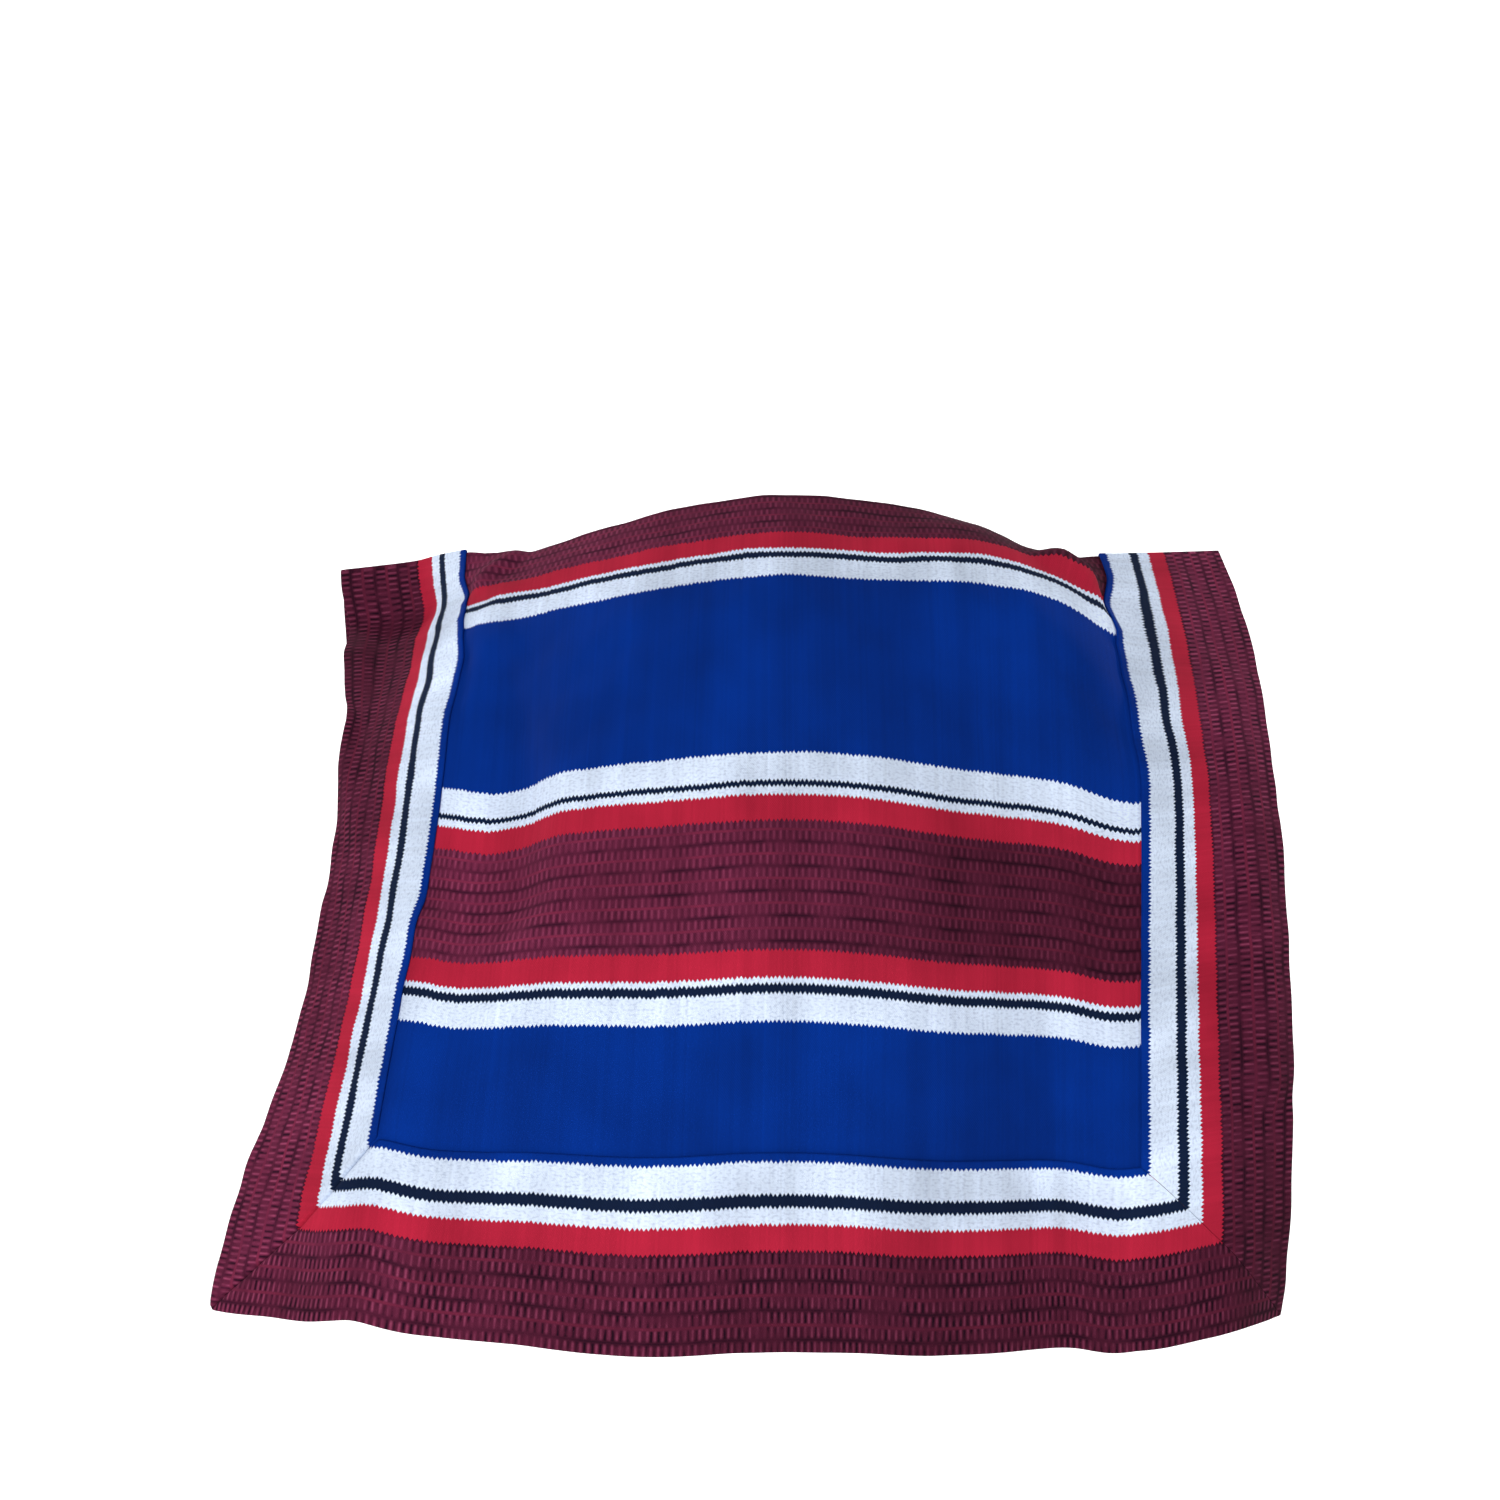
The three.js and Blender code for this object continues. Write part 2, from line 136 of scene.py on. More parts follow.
def through(stations, values, at):
    """Smooth curve through the values at the stations, with slopes from their neighbours."""
    stations = np.asarray(stations, float)
    values = np.asarray(values, float)
    at = np.asarray(at, float)
    count = np.arange(len(stations))
    before = np.maximum(count - 1, 0)
    after = np.minimum(count + 1, count[-1])
    wide = (-1,) + (1,) * (values.ndim - 1)
    slopes = (values[after] - values[before]) / (stations[after] - stations[before]).reshape(wide)
    i = np.clip(np.searchsorted(stations, at) - 1, 0, count[-1] - 1)
    tail = at.shape + (1,) * (values.ndim - 1)
    span = (stations[i + 1] - stations[i]).reshape(tail)
    t = (at - stations[i]).reshape(tail) / span
    rise = t * t * (3 - 2 * t)
    bend = slopes[i] * t * (1 - t) ** 2 - slopes[i + 1] * t * t * (1 - t)
    return values[i] * (1 - rise) + values[i + 1] * rise + bend * span


def line_tops(lines, u):
    return through([row[0] for row in lines], [row[1] for row in lines], u)


def walk(lines, away):
    """Points of every hang line of the comb, STRIDE apart on the cloth. away is -1 in front."""
    stations = [row[0] for row in lines]
    tilts = np.radians(through(stations, [row[3] for row in lines], COMB)).T
    leans = np.radians(through(stations, [row[4] for row in lines], COMB)).T
    stride = STRIDE * through(stations, [row[2] for row in lines], COMB)
    shared = (line_tops(FRONT_LINES, COMB) + line_tops(BACK_LINES, COMB)) / 2
    joined = np.abs(COMB) >= PANEL_HALF
    place = np.where(joined[:, None], shared, line_tops(lines, COMB))
    points = [place]
    for v in np.arange(STRIDE / 2, SIDE_LENGTH + SPARE, STRIDE):
        tilt, lean = through(LEVELS, tilts, v), through(LEVELS, leans, v)
        down = np.stack(
            [np.sin(lean), away * np.sin(tilt) * np.cos(lean), -np.cos(tilt) * np.cos(lean)], 1
        )
        place = place + down * stride[:, None]
        points.append(place)
    return np.array(points)


TABLES = {"front": walk(FRONT_LINES, AWAY["front"]), "back": walk(BACK_LINES, AWAY["back"])}
print("front hem hangs at", round(float(TABLES["front"][-1, len(COMB) // 2, 2])), "mm")

# %% [markdown]
# ## Folds and creases
#
# The hang lines give the large drape. The folds lie on it: each is a soft ridge, or a trough
# where its height is below zero, along a line of the flat cloth. The first ones of each side
# are the large folds that the solids have too. The rest are smaller creases, placed
# where the cloth is pulled, folded away or stored creased, uneven in length and depth.

# %% Folds: from (u, v), to (u, v), width, height at each end, roll of the crest sideways
FRONT_FOLDS = [
    ((-196, -10), (-238, 78), 34, (4, 3), 0),
    ((196, -10), (232, 84), 32, (4, 4), 0),
    ((-206, 60), (-168, 236), 66, (3, -2), 0),
    ((-200, 130), (-178, 300), 90, (-4, -8), 0),
    ((-92, 250), (-112, SIDE_LENGTH), 110, (0, 4), 0),
    ((30, 330), (66, SIDE_LENGTH), 100, (0, -6), 0),
    ((128, 300), (150, SIDE_LENGTH), 96, (0, 5), 0),
    ((-362, 150), (-318, 246), 54, (9, 2), 0),
    ((-300, 420), (-286, SIDE_LENGTH), 76, (0, -3), 0),
    ((322, 130), (330, 420), 60, (2, 6), 0),
]

FRONT_CREASES = [
    # the sharp roll of the neckline over its own end, right and left
    ((198, 42), (236, 50), 44, (10, 0), 0),
    ((188, 26), (224, 60), 24, (2, 1), 2),
    ((-194, 8), (-238, 60), 22, (3, 1.6), -1),
    # short pulls that fan out below the shoulder seams
    ((252, 10), (240, 120), 16, (0.8, 0.2), 0),
    ((-268, 14), (-246, 150), 20, (1.2, 0.2), 0),
    # the inner edges of the strips turn back to lie flat beside the neckline
    ((-236, 58), (-240, 130), 76, (-6, -4), 6),
    ((238, 56), (242, 112), 66, (-6, -3), -5),
    # the right strip is drawn outwards over its middle stretch
    ((244, 210), (244, 470), 140, (0, 0), 7),
    # the hollow below the left shoulder seam, and the slack beside it
    ((-356, 42), (-272, 34), 78, (-13, -4), 0),
    ((-322, 40), (-316, 150), 40, (-2.5, -1), 0),
    ((-232, 120), (-226, 300), 56, (-4, -5), 0),
    # the outer edge is drawn in at its pinch and at its lower corner
    ((-354, 150), (-350, 190), 64, (0, 0), 6),
    ((-356, 588), (-340, 560), 110, (0, 0), 8),
    # one more pull, further out below the right shoulder seam
    ((300, 20), (306, 160), 26, (1.2, -0.4), 0),
    # slack of the panel where it turns towards the side strips
    ((-180, 250), (-206, 420), 34, (1.4, 0.4), 0),
    ((-196, 100), (-150, 210), 26, (1.6, 0.6), 0),
    ((176, 110), (206, 300), 40, (1.4, -0.6), 0),
    # long soft lines of the lower half
    ((4, 380), (-6, SIDE_LENGTH), 46, (0.2, 1.8), 0),
    ((96, 400), (118, SIDE_LENGTH), 38, (0.4, -1.2), 0),
    ((-196, 430), (-214, SIDE_LENGTH), 44, (0.2, 0.9), 0),
    ((214, 420), (230, SIDE_LENGTH), 50, (0.2, -2.0), 0),
    # ripples of the outer edges and the hem
    ((-356, 300), (-330, 380), 40, (2.0, 0.4), 0),
    ((-356, 470), (-318, 520), 36, (1.8, 0.2), 0),
    ((356, 250), (330, 300), 44, (1.8, 0.3), 0),
    ((-70, 548), (-64, 592), 60, (0.2, 1.6), 0),
    ((178, 540), (184, 592), 56, (0.2, 1.9), 0),
]

BACK_FOLDS = [
    ((-200, -10), (-244, 96), 44, (6, 1), 0),
    ((200, -10), (246, 104), 44, (6, 1), 0),
    ((-6, 90), (14, SIDE_LENGTH), 150, (-3, -12), 0),
    ((-118, 150), (-142, SIDE_LENGTH), 120, (2, 11), 0),
    ((126, 140), (160, SIDE_LENGTH), 130, (2, 10), 0),
    ((-258, 220), (-248, SIDE_LENGTH), 100, (0, -8), 0),
    ((262, 240), (268, SIDE_LENGTH), 96, (0, -7), 0),
]

BACK_CREASES = [
    # the ends of the neckline, and short pulls below the shoulder seams
    ((-188, -4), (-240, 70), 22, (3.5, 1.5), -5),
    ((186, -4), (240, 72), 22, (3.5, 1.5), 5),
    ((-262, 12), (-250, 130), 20, (1.2, 0.2), 0),
    ((258, 12), (244, 140), 20, (1.0, 0.2), 0),
    # long soft lines down the panel
    ((-40, 200), (-30, 470), 44, (0.4, 2.0), 0),
    ((52, 160), (70, 400), 40, (0.6, -1.6), 0),
    ((-196, 260), (-206, SIDE_LENGTH), 46, (0.3, 2.2), 0),
    ((212, 300), (206, SIDE_LENGTH), 44, (0.3, 2.0), 0),
    ((104, 420), (98, SIDE_LENGTH), 40, (0.2, -1.8), 0),
    ((-98, 440), (-90, SIDE_LENGTH), 40, (0.2, -1.6), 0),
    # ripples of the outer edges and the hem
    ((356, 200), (326, 260), 44, (1.8, 0.3), 0),
    ((-356, 330), (-322, 400), 44, (1.8, 0.3), 0),
    ((30, 546), (36, 592), 60, (0.2, 1.6), 0),
]
FOLDS = {"front": FRONT_FOLDS + FRONT_CREASES, "back": BACK_FOLDS + BACK_CREASES}
print({side: len(rows) for side, rows in FOLDS.items()}, "folds and creases")

# %% [markdown]
# ## The hung surface
#
# The surface is put together in three steps. The first reads the drape from the walked
# table, at any u and v, and finds the direction out of the cloth from its neighbours. Front
# and back are one line of cloth along the shoulder seams and apart at the neck, so a share
# says how far they are joined at each u.

# %% The drape without folds
PROBE = 2.0
SLIT_CLOSES = (214, PANEL_HALF)


def hung(side, u, v):
    """Points of the drape without folds, read from the walked table."""
    table = TABLES[side]
    a = np.clip(v, 0, SIDE_LENGTH + SPARE - STRIDE) / STRIDE
    b = (u - COMB[0]) / STRIDE
    i = np.minimum(a.astype(int), len(table) - 2)
    j = np.clip(b.astype(int), 0, len(COMB) - 2)
    a, b = (a - i)[..., None], (b - j)[..., None]
    upper = table[i, j] * (1 - b) + table[i, j + 1] * b
    lower = table[i + 1, j] * (1 - b) + table[i + 1, j + 1] * b
    return upper * (1 - a) + lower * a


def normal_of(surface, side, u, v):
    """Direction out of the cloth, from points PROBE to all four sides."""
    across = surface(side, u + PROBE, v) - surface(side, u - PROBE, v)
    down = surface(side, u, v + PROBE) - surface(side, u, v - PROBE)
    out = np.cross(across, down) * AWAY[side]
    return out / np.linalg.norm(out, axis=-1, keepdims=True)


def closing(u):
    """It is 1 where front and back are joined, and 0 where the neck is open."""
    return np.clip((np.abs(u) - SLIT_CLOSES[0]) / (SLIT_CLOSES[1] - SLIT_CLOSES[0]), 0, 1)


print("the neckline's middle is at", hung("front", np.array([0.0]), np.array([0.0])).round(1))

# %% [markdown]
# The second step adds the folds. Each lifts the cloth along the direction out of it, and some
# roll it sideways too. Along the shoulder seams front and back share one line, so there the
# folds start from nothing and grow below it. And no hung cloth is perfectly smooth, so there
# is a faint unevenness of a few tenths of a millimetre.

# %% The folds on the drape
FOLDS_START = 36
ROLL_LOST = 0.6
# height of a wave, its length across and down the cloth
WAVES = ((0.24, 83, 47), (0.24, -57, 61), (0.16, 41, -38), (0.07, 23, 29))
TURN = 6.28


def free_to_fold(u, v):
    """It is 0 on the shoulder seams and grows to 1 over FOLDS_START below them."""
    return 1 - closing(u) * (1 - np.clip(v / FOLDS_START, 0, 1))


def fold_lift(side, u, v):
    """How far the folds lift the cloth, and how far they roll it sideways, along u."""
    lift, roll = np.zeros_like(u), np.zeros_like(u)
    for start, end, width, height, over in FOLDS[side]:
        run = np.subtract(end, start).astype(float)
        length = np.hypot(*run)
        along = ((u - start[0]) * run[0] + (v - start[1]) * run[1]) / length
        aside = ((u - start[0]) * run[1] - (v - start[1]) * run[0]) / length
        beyond = np.maximum(np.maximum(-along, along - length), 0)
        off = np.minimum(np.hypot(aside, beyond) / (width / 2), 1)
        bump = 0.5 + 0.5 * np.cos(np.pi * off)
        share = np.clip(along / length, 0, 1)
        lift += (height[0] + (height[1] - height[0]) * share) * bump
        roll += over * (1 - ROLL_LOST * share) * bump
    hold = free_to_fold(u, v)
    return lift * hold, roll * hold


def unevenness(u, v):
    """Faint waves in several directions, which never line up."""
    return sum(h * np.sin(u / a * TURN + v / b * TURN + a) for h, a, b in WAVES)


def creased(side, u, v):
    """Middle of the cloth with its folds."""
    lift, roll = fold_lift(side, u, v)
    place = hung(side, u, v)
    across = hung(side, u + PROBE, v) - hung(side, u - PROBE, v)
    across /= np.linalg.norm(across, axis=-1, keepdims=True)
    lift = lift + unevenness(u, v) * free_to_fold(u, v)
    return place + normal_of(hung, side, u, v) * lift[..., None] + across * roll[..., None]


hem = np.linspace(-HALF_WIDTH, HALF_WIDTH, 71)
hem_lift = fold_lift("front", hem, np.full(71, float(SIDE_LENGTH)))[0]
print(f"folds of the front hem: {hem_lift.min():.1f} to {hem_lift.max():.1f} mm")

# %% [markdown]
# The third step is what sewing does to the cloth. The border is folded double and laid on
# the panel, so along its inner edge it stands a little proud and the panel dips under it.
# The left mitre seams pull a narrow groove, and the right ones are pressed nearly flat.

# %% What sewing does to the cloth
LAP_STEP = 0.85
PANEL_DIPS_OVER = 14
LAP_FADES_OVER = 16
GROOVE = 2.2
GROOVE_REACH = 1.6
FLAT_MITRE = 0.1


def soft(x):
    x = np.clip(x, 0, 1)
    return x * x * (3 - 2 * x)


def from_mitre(u, v):
    """Distance on the flat cloth from the mitre, which runs into the lower corners."""
    return np.abs(v - (SIDE_LENGTH - HALF_WIDTH + np.abs(u))) / math.sqrt(2)


def sewn(u, v, border):
    """Lift from the lapped inner edge of the border, and the groove of the mitre."""
    inside = np.maximum(np.abs(u) - PANEL_HALF, v - PANEL_LENGTH)
    if not border:
        return -LAP_STEP * soft((inside + PANEL_DIPS_OVER) / PANEL_DIPS_OVER)
    lap = LAP_STEP * (1 - soft(inside / LAP_FADES_OVER))
    groove = np.where(u < 0, GROOVE, GROOVE * FLAT_MITRE)
    return lap - groove * np.exp(-((from_mitre(u, v) / GROOVE_REACH) ** 2))


print(f"the border stands {LAP_STEP} mm proud, and the left mitres are {GROOVE} mm deep")

# %% [markdown]
# ## Cutting a piece
#
# Each piece starts as a flat grid, as cloth lies on the cutting table, and is extruded once,
# so that it has a face and a back. The grid lines crowd together near the edges, so that
# folded edges can be round.

# %% A flat piece with a face and a back
EDGE_LINES = (0.3, 0.8, 1.5, 2.6)
EVEN_LINES_FROM = 3.6


def grid_lines(length, cell):
    """Shares from 0 to 1, one cell apart, with a few extra lines close to both ends."""
    count = max(round(length / cell), 2)
    even = [k / count for k in range(1, count)]
    near = [d / length for d in EDGE_LINES]
    shares = {0.0, 1.0, *near, *(1 - x for x in near)}
    shares |= {x for x in even if min(x, 1 - x) > EVEN_LINES_FROM / length}
    return np.array(sorted(shares))


def flat_piece(name, size, cell):
    """size is (across, down) in mm. With the piece it gives each point's place on it, s across
    and t down from 0 to 1, and 1 for a point of its face or -1 for one of its back."""
    columns, rows = (grid_lines(length, cell) for length in size)
    bpy.ops.object.select_all(action="DESELECT")
    bpy.ops.mesh.primitive_grid_add(
        x_subdivisions=len(columns) - 1, y_subdivisions=len(rows) - 1, size=2
    )
    piece = bpy.context.object
    piece.name = piece.data.name = name
    bpy.ops.object.mode_set(mode="EDIT")
    bpy.ops.mesh.select_all(action="SELECT")
    bpy.ops.mesh.extrude_region_move(TRANSFORM_OT_translate={"value": (0, 0, 1)})
    bpy.ops.object.mode_set(mode="OBJECT")

    flat = np.empty(len(piece.data.vertices) * 3)
    piece.data.vertices.foreach_get("co", flat)
    flat = flat.reshape(-1, 3)
    s = columns[np.rint((flat[:, 0] + 1) / 2 * (len(columns) - 1)).astype(int)]
    t = rows[np.rint((1 - flat[:, 1]) / 2 * (len(rows) - 1)).astype(int)]
    return piece, s, t, np.where(flat[:, 2] > 0.5, 1.0, -1.0)


print("lines of a 20 mm strip, in mm:", (grid_lines(20, 4) * 20).round(1))

# %% [markdown]
# ## Hanging it
#
# Then every point is hung: its place on the grid gives u and v, those give the point of the
# surface, and the point moves out or in by half of the cloth's thickness, less near a folded
# edge. At the shoulder seams the edges of front and back are turned to the plane half way
# between them, so that they meet like the two sides of a seam.

# %% Hang a piece on the surface
THINNEST = 0.25
ON_THE_SEAM = SHOULDER_START + 0.01


def rounded(distance, radius):
    """Share of the full thickness at a distance from a folded edge."""
    x = np.clip(distance / radius, 0, 1)
    return np.maximum(np.sqrt(1 - (1 - x) ** 2), THINNEST)


def hang(side, u, v, face, wall, border, folded):
    """Points of the face and the back in mm. folded(u, v) is the distance from the nearest
    folded edge."""
    out = normal_of(creased, side, u, v)
    other = normal_of(creased, OTHER_SIDE[side], u, v)
    halfway = out + other
    halfway /= np.linalg.norm(halfway, axis=1, keepdims=True)
    mitred = halfway / np.sum(halfway * out, axis=1, keepdims=True)
    share = np.where(v <= ON_THE_SEAM, closing(u), 0)[:, None]
    offset = out * (1 - share) + mitred * share
    half = wall / 2 * rounded(folded(u, v), wall / 2)
    middle = creased(side, u, v) + out * sewn(u, v, border)[:, None]
    return middle + offset * (half * face)[:, None]


def turn_outwards(piece):
    """Flips the faces if the closed shell encloses a volume below zero."""
    mesh = piece.data
    mesh.calc_loop_triangles()
    corners = np.empty(len(mesh.loop_triangles) * 3, int)
    mesh.loop_triangles.foreach_get("vertices", corners)
    points = np.empty(len(mesh.vertices) * 3)
    mesh.vertices.foreach_get("co", points)
    a, b, c = points.reshape(-1, 3)[corners.reshape(-1, 3)].transpose(1, 0, 2)
    if np.einsum("ij,ij->", a, np.cross(b, c)) < 0:
        bpy.ops.object.mode_set(mode="EDIT")
        bpy.ops.mesh.select_all(action="SELECT")
        bpy.ops.mesh.flip_normals()
        bpy.ops.object.mode_set(mode="OBJECT")


print("share of the thickness at a folded edge:", rounded(np.array([0, 0.3, 1.0]), 1).round(2))

# %% [markdown]
# The pattern has to follow the cloth, so each piece gets a UV map that says where it lay in
# the woven cloth before it was cut: metres along the stripes, and across them. The left
# strips run up the cloth and the right ones down it, and each strip was cut from another
# stretch of it. So dashes, uneven dye and the painted shade of the wine bands differ from
# strip to strip, and they don't run on round the corners.

# %% Map of the weave, and the whole piece
# these offsets also set where the painted shade of the wine bands falls on the right and bottom
# strips
RIGHT_CUT_FROM = 600
BOTTOM_CUT_FROM = 60


def place_in_weave(kind, u, v):
    """Millimetres along the stripes and across them. kind is panel, side or bottom."""
    if kind == "side":
        return np.stack([np.where(u < 0, -v, v - RIGHT_CUT_FROM), HALF_WIDTH - np.abs(u)], 1)
    if kind == "bottom":
        return np.stack([u - BOTTOM_CUT_FROM, SIDE_LENGTH - v], 1)
    return np.stack([u, v], 1)


def cut_cloth(name, side, kind, size, cell, place, wall, folded):
    """Makes a whole piece. place(s, t) gives the u and v of its points."""
    piece, s, t, face = flat_piece(name, size, cell)
    u, v = place(s, t)
    points = hang(side, u, v, face, wall, kind != "panel", folded)
    mesh = piece.data
    mesh.vertices.foreach_set("co", (points * MM).ravel())

    corners = np.empty(len(mesh.loops), int)
    mesh.loops.foreach_get("vertex_index", corners)
    for layer in list(mesh.uv_layers):
        mesh.uv_layers.remove(layer)
    cloth_map = mesh.uv_layers.new(name="cloth")
    weave = place_in_weave(kind, u, v)
    cloth_map.data.foreach_set("uv", (weave[corners] * MM).ravel())
    mesh.update()

    turn_outwards(piece)
    bpy.ops.object.shade_smooth_by_angle(angle=math.radians(50))
    print(f"{name}: {len(mesh.polygons)} faces")
    return piece


# %% [markdown]
# ## The panels
#
# A panel is a square of single cloth with the stripes running across. Its top edge is the
# neckline, turned over and hemmed, so only that edge is round. The other three run on a few
# millimetres under the border. The back is drawn on a coarser grid, because it has no
# creases as sharp as the front's.

# %% Front and back panel
CELL = {"front": 3.0, "back": 4.0}
LAP = 5.0


def panel_place(s, t):
    u = (2 * s - 1) * (PANEL_HALF + LAP)
    top = SHOULDER_START + np.maximum(np.abs(u) - PANEL_HALF, 0)
    return u, top + t * (PANEL_LENGTH + LAP - top)


def from_neckline(u, v):
    return v


PANEL_SIZE = (2 * (PANEL_HALF + LAP), PANEL_LENGTH + LAP)
pieces = {}
for side in ("front", "back"):
    pieces[f"{side}_panel"] = cut_cloth(
        f"{side}_panel_cloth", side, "panel", PANEL_SIZE, CELL[side], panel_place,
        PANEL_WALL, from_neckline,
    )

# %% [markdown]
# ## The borders
#
# A border strip is folded double, so both its long edges are folds and look round, and so
# does the left mitre, where the groove pulls them in. Strips meet at 45 degrees in the lower
# corners. The side strips end at the shoulder line, where front and back are sewn together.

# %% Side and bottom strips


def folded_strip(u, v):
    inside = np.maximum(np.abs(u) - PANEL_HALF, v - PANEL_LENGTH)
    mitre = np.where(u < 0, from_mitre(u, v), BORDER_WIDTH)
    return np.minimum(np.minimum(inside, BORDER_WIDTH - inside), mitre)


def side_place(hand):
    """The place function of a side strip. hand is -1 for the left one and 1 for the right."""

    def place(s, t):
        out = PANEL_HALF + (s if hand > 0 else 1 - s) * BORDER_WIDTH
        end = SIDE_LENGTH - (HALF_WIDTH - out) - MITRE_STEP
        return hand * out, SHOULDER_START + t * (end - SHOULDER_START)

    return place


def bottom_place(s, t):
    v = PANEL_LENGTH + t * BORDER_WIDTH
    return (2 * s - 1) * (HALF_WIDTH - (SIDE_LENGTH - v) - MITRE_STEP), v


for side in ("front", "back"):
    for hand, word in ((-1, "left"), (1, "right")):
        pieces[f"{side}_border_{word}"] = cut_cloth(
            f"{side}_border_{word}_cloth", side, "side", (BORDER_WIDTH, SIDE_LENGTH),
            CELL[side], side_place(hand), BORDER_WALL, folded_strip,
        )
    pieces[f"{side}_border_bottom"] = cut_cloth(
        f"{side}_border_bottom_cloth", side, "bottom", (SIDE_WIDTH, BORDER_WIDTH), CELL[side],
        bottom_place, BORDER_WALL, folded_strip,
    )

# %% [markdown]
# ## The cloth as a material
#
# The cloth is a heavy cotton weave of the kind that striped blankets are woven in: thick
# matt yarns, stripes with finely serrated edges where one yarn gives way to the next, and
# wine-red bands that carry a small woven dash pattern. Nothing here is printed, so the
# colour is built from the same things as the weave: stripe positions, yarn spacing and rows
# of dashes, all in millimetres of the flat cloth, which the UV map gives.
#
# One small function adds every node. Where a node has several inputs of one name, they go by
# number. Map Range reads from input 1 to 2 and gives 3 to 4. A mix has its share at 0, and
# what it mixes at 2 and 3 if that is numbers, or at 6 and 7 if it is colours.

# %% Colours and the small node helper
COLOURS = {
    "white": "#DCE9FD",
    "white_rib": "#98A6C4",
    "navy": "#0F1D38",
    "blue": "#002C84",
    "red": "#B0213A",
    "wine": "#60203A",
    "wine_dark": "#24091C",
    "wine_light": "#A04668",
    "wine_red": "#902C48",
}
OF_COLOURS = {"out": 2, "data_type": "RGBA"}


def linear(name):
    """The colour's sRGB hex value as linear red, green, blue and alpha."""
    code = COLOURS[name].lstrip("#")
    parts = [int(code[k : k + 2], 16) / 255 for k in (0, 2, 4)]
    return [p / 12.92 if p <= 0.04045 else ((p + 0.055) / 1.055) ** 2.4 for p in parts] + [1.0]


def add(tree, kind, sockets, out=0, **settings):
    """Adds a node with its settings and links, and returns its output number out. A key of
    sockets is the name or number of an input; a value is a number, a colour or an output."""
    node = tree.nodes.new("ShaderNode" + kind)
    for key, value in settings.items():
        setattr(node, key, value)
    for key, value in sockets.items():
        if isinstance(value, bpy.types.NodeSocket):
            tree.links.new(value, node.inputs[key])
        else:
            node.inputs[key].default_value = value
    return node.outputs[out] if node.outputs else None


print({name: [round(x, 3) for x in linear(name)[:3]] for name in COLOURS})

# %% [markdown]
# First the place on the cloth: millimetres along the stripes and across them. Before the
# stripes are read from a colour ramp with hard steps, the place across is nudged by the
# yarns: a tooth every 2.7 mm, and a little more or less for each yarn. That is what makes the
# edge of a woven stripe look serrated. The ramp's alpha marks the wine bands.

# %% Striped ground of the weave
TOOTH = 2.7
TOOTH_DEPTH = 1.9
YARN = 1.35
LOOSE = 0.45


def place_on_cloth(tree):
    """Millimetres along the stripes and across them, and each yarn's own random number."""
    cloth_map = add(tree, "UVMap", {}, uv_map="cloth")
    metres = add(tree, "SeparateXYZ", {0: cloth_map}).node
    along, across = (
        add(tree, "Math", {0: metres.outputs[k], 1: 1 / MM}, operation="MULTIPLY") for k in (0, 1)
    )
    yarn = add(tree, "Math", {0: along, 1: YARN}, operation="SNAP")
    chance = add(tree, "TexWhiteNoise", {"W": yarn}, noise_dimensions="1D")
    return along, across, chance


def striped_ground(tree, stripes, length, along, across, chance):
    """Colour of the stripes, and 1 in the wine bands. stripes are (start in mm, colour)."""
    tooth = add(tree, "Math", {0: along, 1: TOOTH / 2}, operation="PINGPONG")
    tooth = add(
        tree, "Math", {0: tooth, 1: TOOTH_DEPTH / (TOOTH / 2), 2: -TOOTH_DEPTH / 2},
        operation="MULTIPLY_ADD",
    )
    loose = add(tree, "Math", {0: chance, 1: 2 * LOOSE, 2: -LOOSE}, operation="MULTIPLY_ADD")
    nudge = add(tree, "Math", {0: tooth, 1: loose}, operation="ADD")
    nudged = add(tree, "Math", {0: across, 1: nudge}, operation="ADD")
    share = add(tree, "Math", {0: nudged, 1: length}, operation="DIVIDE")
    node = add(tree, "ValToRGB", {0: share}).node
    node.color_ramp.interpolation = "CONSTANT"
    stops = node.color_ramp.elements
    while len(stops) < len(stripes):
        stops.new(0.999)
    # moving a stop can reorder them, so all have their places before any gets its colour
    for stop, (start, colour) in zip(stops, stripes):
        stop.position = start / length
    for stop, (start, colour) in zip(stops, stripes):
        stop.color = linear(colour)[:3] + [float(colour == "wine")]
    return node.outputs["Color"], node.outputs["Alpha"]


print(f"{TOOTH_DEPTH} mm teeth, one every {TOOTH} mm")

# %% [markdown]
# White shows more than the other colours how the cloth is made. Its ribs stand out faintly,
# and the dark yarn behind it shines through in small flecks, which are soft noise of about
# the size of a stitch. The other colours hide both.

# %% Ribs and flecks of the white
FLECK = (2.6, 1.5)
FLECK_FROM_TO = (0.46, 0.80)
FLECK_SHADE = 0.44
RIB_SHADE = 0.06
ONLY_WHITE_ABOVE = 0.6


def noise_at(tree, along, across, scale, detail):
    """Soft noise on the cloth, from 0 to 1. scale is its size along and across, in mm."""
    place = add(
        tree, "CombineXYZ",
        {
            0: add(tree, "Math", {0: along, 1: scale[0]}, operation="DIVIDE"),
            1: add(tree, "Math", {0: across, 1: scale[1]}, operation="DIVIDE"),
        },
    )
    return add(
        tree, "TexNoise", {"Vector": place, "Scale": 1.0, "Detail": detail}, noise_dimensions="2D"
    )


